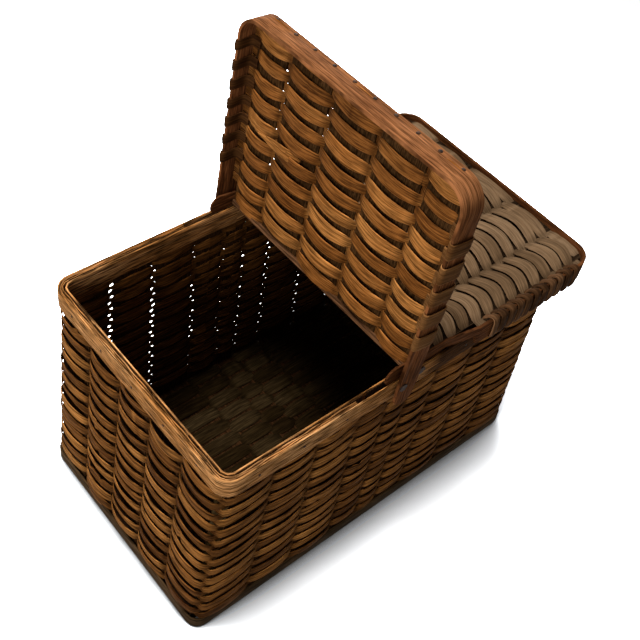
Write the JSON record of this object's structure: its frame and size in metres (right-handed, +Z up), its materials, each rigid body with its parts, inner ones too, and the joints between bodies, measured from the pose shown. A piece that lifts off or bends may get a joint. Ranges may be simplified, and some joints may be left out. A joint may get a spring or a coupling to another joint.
{
  "type": "splint picnic basket",
  "caption": "Rectangular woven splint picnic basket with hoop rim, foot band and paired lids that hinge back to back over the middle; one lid rests open, the other shut.",
  "frame": {"origin": "middle of the base where it meets the table", "axes": "+X along the length towards the lid that rests shut, +Y across the width, +Z up"},
  "size_m": [0.5168, 0.3036, 0.5148],
  "materials": {
    "weaver_splint": "old oiled ash or oak splint",
    "stake_splint": "old oiled ash or oak splint",
    "hoop_wood": "old oiled ash or oak splint",
    "base_wood": "old oiled ash or oak splint",
    "floor_splint": "old oiled ash or oak splint",
    "lid_band_wood": "old oiled ash or oak splint",
    "open_lid_splint": "old oiled ash or oak splint",
    "shut_lid_splint": "old oiled ash or oak splint",
    "rib_splint": "old oiled ash or oak splint",
    "nail_iron": "dark, lightly rusted"
  },
  "bodies": {
    "basket": {"base_band": "base_wood", "end_stakes_left": "stake_splint", "end_stakes_right": "stake_splint", "floor_strips": "floor_splint", "hinge_pins": "nail_iron", "rim_inner_hoop": "hoop_wood", "rim_outer_hoop": "hoop_wood", "rim_tacks": "nail_iron", "side_stake_1": "stake_splint", "side_stake_2": "stake_splint", "side_stake_3": "stake_splint", "side_stake_4": "stake_splint", "side_stake_5": "stake_splint", "side_stake_6": "stake_splint", "side_stake_7": "stake_splint", "side_stake_8": "stake_splint", "side_stake_9": "stake_splint", "wall_weaver_01": "weaver_splint", "wall_weaver_02": "weaver_splint", "wall_weaver_03": "weaver_splint", "wall_weaver_04": "weaver_splint", "wall_weaver_05": "weaver_splint", "wall_weaver_06": "weaver_splint", "wall_weaver_07": "weaver_splint", "wall_weaver_08": "weaver_splint", "wall_weaver_09": "weaver_splint", "wall_weaver_10": "weaver_splint", "wall_weaver_11": "weaver_splint", "wall_weaver_12": "weaver_splint", "wall_weaver_13": "weaver_splint", "wall_weaver_14": "weaver_splint", "wall_weaver_15": "weaver_splint", "wall_weaver_16": "weaver_splint", "wall_weaver_17": "weaver_splint", "wall_weaver_18": "weaver_splint", "wall_weaver_19": "weaver_splint", "wall_weaver_20": "weaver_splint", "wall_weaver_21": "weaver_splint", "wall_weaver_22": "weaver_splint", "wall_weaver_23": "weaver_splint", "wall_weaver_24": "weaver_splint", "wall_weaver_25": "weaver_splint", "wall_weaver_26": "weaver_splint"},
    "left_lid": {"left_lid_band": "lid_band_wood", "left_lid_rail": "lid_band_wood", "left_lid_ribs": "rib_splint", "left_lid_tacks": "nail_iron", "left_lid_weavers": "open_lid_splint"},
    "right_lid": {"right_lid_band": "lid_band_wood", "right_lid_rail": "lid_band_wood", "right_lid_ribs": "rib_splint", "right_lid_tacks": "nail_iron", "right_lid_weavers": "shut_lid_splint"}
  },
  "joints": [
    {"name": "left_lid_hinge", "type": "hinge", "parent": "basket", "child": "left_lid", "pos_m": [-0.015, 0, 0.273], "axis": [0, -1, 0], "range_deg": [0, 94]},
    {"name": "right_lid_hinge", "type": "hinge", "parent": "basket", "child": "right_lid", "pos_m": [0.015, 0, 0.273], "axis": [0, -1, 0], "range_deg": [0, 70]}
  ]
}
